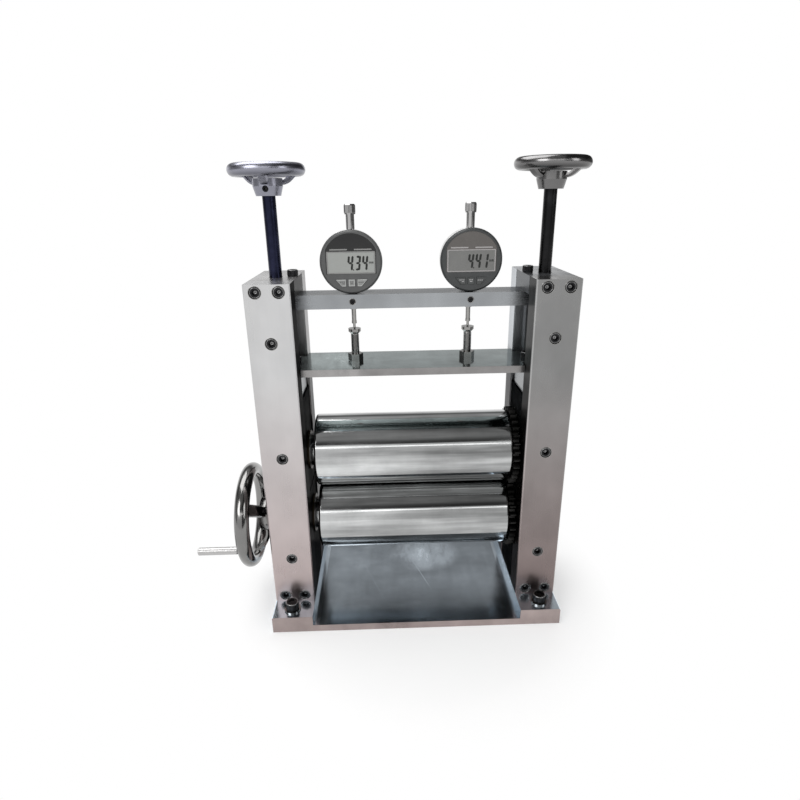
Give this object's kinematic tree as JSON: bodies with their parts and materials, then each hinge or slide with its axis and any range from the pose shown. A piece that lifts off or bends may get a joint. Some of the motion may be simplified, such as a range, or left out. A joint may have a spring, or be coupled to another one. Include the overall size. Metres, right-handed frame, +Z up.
{
  "type": "jewellers rolling mill",
  "caption": "Bench rolling mill with flat rolls in a steel frame, a hand crank wheel, lead screws that set the roll gap and dial gauges that read it.",
  "frame": {"origin": "middle of the base's underside, straight under the axis of the lower roll", "axes": "+X to the right along the rolls as seen from the gauges' faces, +Y to the rear, +Z up"},
  "size_m": [0.3865, 0.153, 0.4539],
  "materials": {
    "ground_steel": "ground, matt silver",
    "polished_steel": "polished",
    "roll_chrome": "mirror",
    "wheel_chrome": "mirror",
    "chock_steel": "ground",
    "gear_steel": "machined",
    "bronze": "machined bronze",
    "black_oxide_steel": "black oxide",
    "bright_steel": "bright",
    "gauge_metal": "satin",
    "gauge_face": "dark",
    "gauge_window": "display pane",
    "gauge_button": "light grey",
    "gauge_cap": "light"
  },
  "bodies": {
    "frame": {"gauge_crossbar": "ground_steel", "left_front_column_bar": "ground_steel", "left_rear_column_bar": "ground_steel", "left_top_block": "ground_steel", "right_front_column_bar": "ground_steel", "right_rear_column_bar": "ground_steel", "right_top_block": "ground_steel", "base_plate": "polished_steel", "left_lower_chock": "chock_steel", "right_lower_chock": "chock_steel", "guide_rails": "chock_steel", "lead_screw_nuts": "bronze", "lower_roll_bushes": "bronze", "column_pair_screws": "black_oxide_steel", "guide_rail_screws": "black_oxide_steel", "base_screws": "black_oxide_steel", "crossbar_end_screws": "black_oxide_steel", "stem_clamp_screws": "black_oxide_steel", "foot_bolts": "black_oxide_steel", "foot_washers": "bright_steel", "left_gauge_case": "gauge_metal", "left_gauge_face": "gauge_face", "left_gauge_stem": "gauge_metal", "left_gauge_cap": "gauge_cap", "left_gauge_window": "gauge_window", "right_gauge_case": "gauge_metal", "right_gauge_face": "gauge_face", "right_gauge_stem": "gauge_metal", "right_gauge_cap": "gauge_cap", "right_gauge_window": "gauge_window"},
    "carriage": {"left_upper_chock": "chock_steel", "right_upper_chock": "chock_steel", "upper_roll_bushes": "bronze", "left_thrust_block": "chock_steel", "right_thrust_block": "chock_steel", "thrust_pads": "chock_steel", "gauge_plate": "polished_steel", "gauge_plate_screws": "black_oxide_steel", "left_gauge_anvil": "bright_steel", "right_gauge_anvil": "bright_steel", "anvil_lock_nuts": "bright_steel"},
    "left_screw": {"left_lead_screw": "black_oxide_steel", "left_adjusting_wheel": "wheel_chrome"},
    "right_screw": {"right_lead_screw": "black_oxide_steel", "right_adjusting_wheel": "wheel_chrome"},
    "lower_roll_set": {"lower_roll": "roll_chrome", "lower_roll_gear": "gear_steel", "drive_wheel": "wheel_chrome", "crank_handle": "wheel_chrome"},
    "upper_roll_set": {"upper_roll": "roll_chrome", "upper_roll_gear": "gear_steel"},
    "left_spindle": {"left_gauge_spindle": "bright_steel"},
    "right_spindle": {"right_gauge_spindle": "bright_steel"},
    "left_gauge_left_button_body": {"left_gauge_left_button": "gauge_button"},
    "left_gauge_middle_button_body": {"left_gauge_middle_button": "gauge_button"},
    "left_gauge_right_button_body": {"left_gauge_right_button": "gauge_button"},
    "right_gauge_left_button_body": {"right_gauge_left_button": "gauge_button"},
    "right_gauge_middle_button_body": {"right_gauge_middle_button": "gauge_button"},
    "right_gauge_right_button_body": {"right_gauge_right_button": "gauge_button"}
  },
  "joints": [
    {"name": "carriage_slide", "type": "slide", "parent": "frame", "child": "carriage", "axis": [0, 0, 1], "range_m": [-0.0011, 0.0038]},
    {"name": "left_screw_turn", "type": "hinge", "parent": "carriage", "child": "left_screw", "pos_m": [-0.12825, 0, 0.424], "axis": [0, 0, 1], "range_deg": [-230, 785]},
    {"name": "right_screw_turn", "type": "hinge", "parent": "carriage", "child": "right_screw", "pos_m": [0.12825, 0, 0.424], "axis": [0, 0, 1], "range_deg": [-230, 785]},
    {"name": "lower_roll_turn", "type": "hinge", "parent": "frame", "child": "lower_roll_set", "pos_m": [0, 0, 0.0955], "axis": [1, 0, 0], "continuous": true},
    {"name": "upper_roll_turn", "type": "hinge", "parent": "carriage", "child": "upper_roll_set", "pos_m": [0, 0, 0.1717], "axis": [1, 0, 0], "continuous": true},
    {"name": "left_spindle_slide", "type": "slide", "parent": "frame", "child": "left_spindle", "axis": [0, 0, 1], "range_m": [-0.0012, 0.004]},
    {"name": "right_spindle_slide", "type": "slide", "parent": "frame", "child": "right_spindle", "axis": [0, 0, 1], "range_m": [-0.0012, 0.004]},
    {"name": "left_gauge_left_button_press", "type": "slide", "parent": "frame", "child": "left_gauge_left_button_body", "axis": [0, 1, 0], "range_m": [0, 0.0008], "stiffness_N_per_m": 500, "springref_m": -0.0004},
    {"name": "left_gauge_middle_button_press", "type": "slide", "parent": "frame", "child": "left_gauge_middle_button_body", "axis": [0, 1, 0], "range_m": [0, 0.0008], "stiffness_N_per_m": 500, "springref_m": -0.0004},
    {"name": "left_gauge_right_button_press", "type": "slide", "parent": "frame", "child": "left_gauge_right_button_body", "axis": [0, 1, 0], "range_m": [0, 0.0008], "stiffness_N_per_m": 500, "springref_m": -0.0004},
    {"name": "right_gauge_left_button_press", "type": "slide", "parent": "frame", "child": "right_gauge_left_button_body", "axis": [0, 1, 0], "range_m": [0, 0.0008], "stiffness_N_per_m": 500, "springref_m": -0.0004},
    {"name": "right_gauge_middle_button_press", "type": "slide", "parent": "frame", "child": "right_gauge_middle_button_body", "axis": [0, 1, 0], "range_m": [0, 0.0008], "stiffness_N_per_m": 500, "springref_m": -0.0004},
    {"name": "right_gauge_right_button_press", "type": "slide", "parent": "frame", "child": "right_gauge_right_button_body", "axis": [0, 1, 0], "range_m": [0, 0.0008], "stiffness_N_per_m": 500, "springref_m": -0.0004}
  ],
  "couplings": [
    {"joint": "left_screw_turn", "follows": "carriage_slide", "rad_per_m": 3590.4},
    {"joint": "right_screw_turn", "follows": "carriage_slide", "rad_per_m": 3590.4},
    {"joint": "left_spindle_slide", "follows": "carriage_slide", "ratio": 1},
    {"joint": "right_spindle_slide", "follows": "carriage_slide", "ratio": 1},
    {"joint": "upper_roll_turn", "follows": "lower_roll_turn", "ratio": -1}
  ]
}
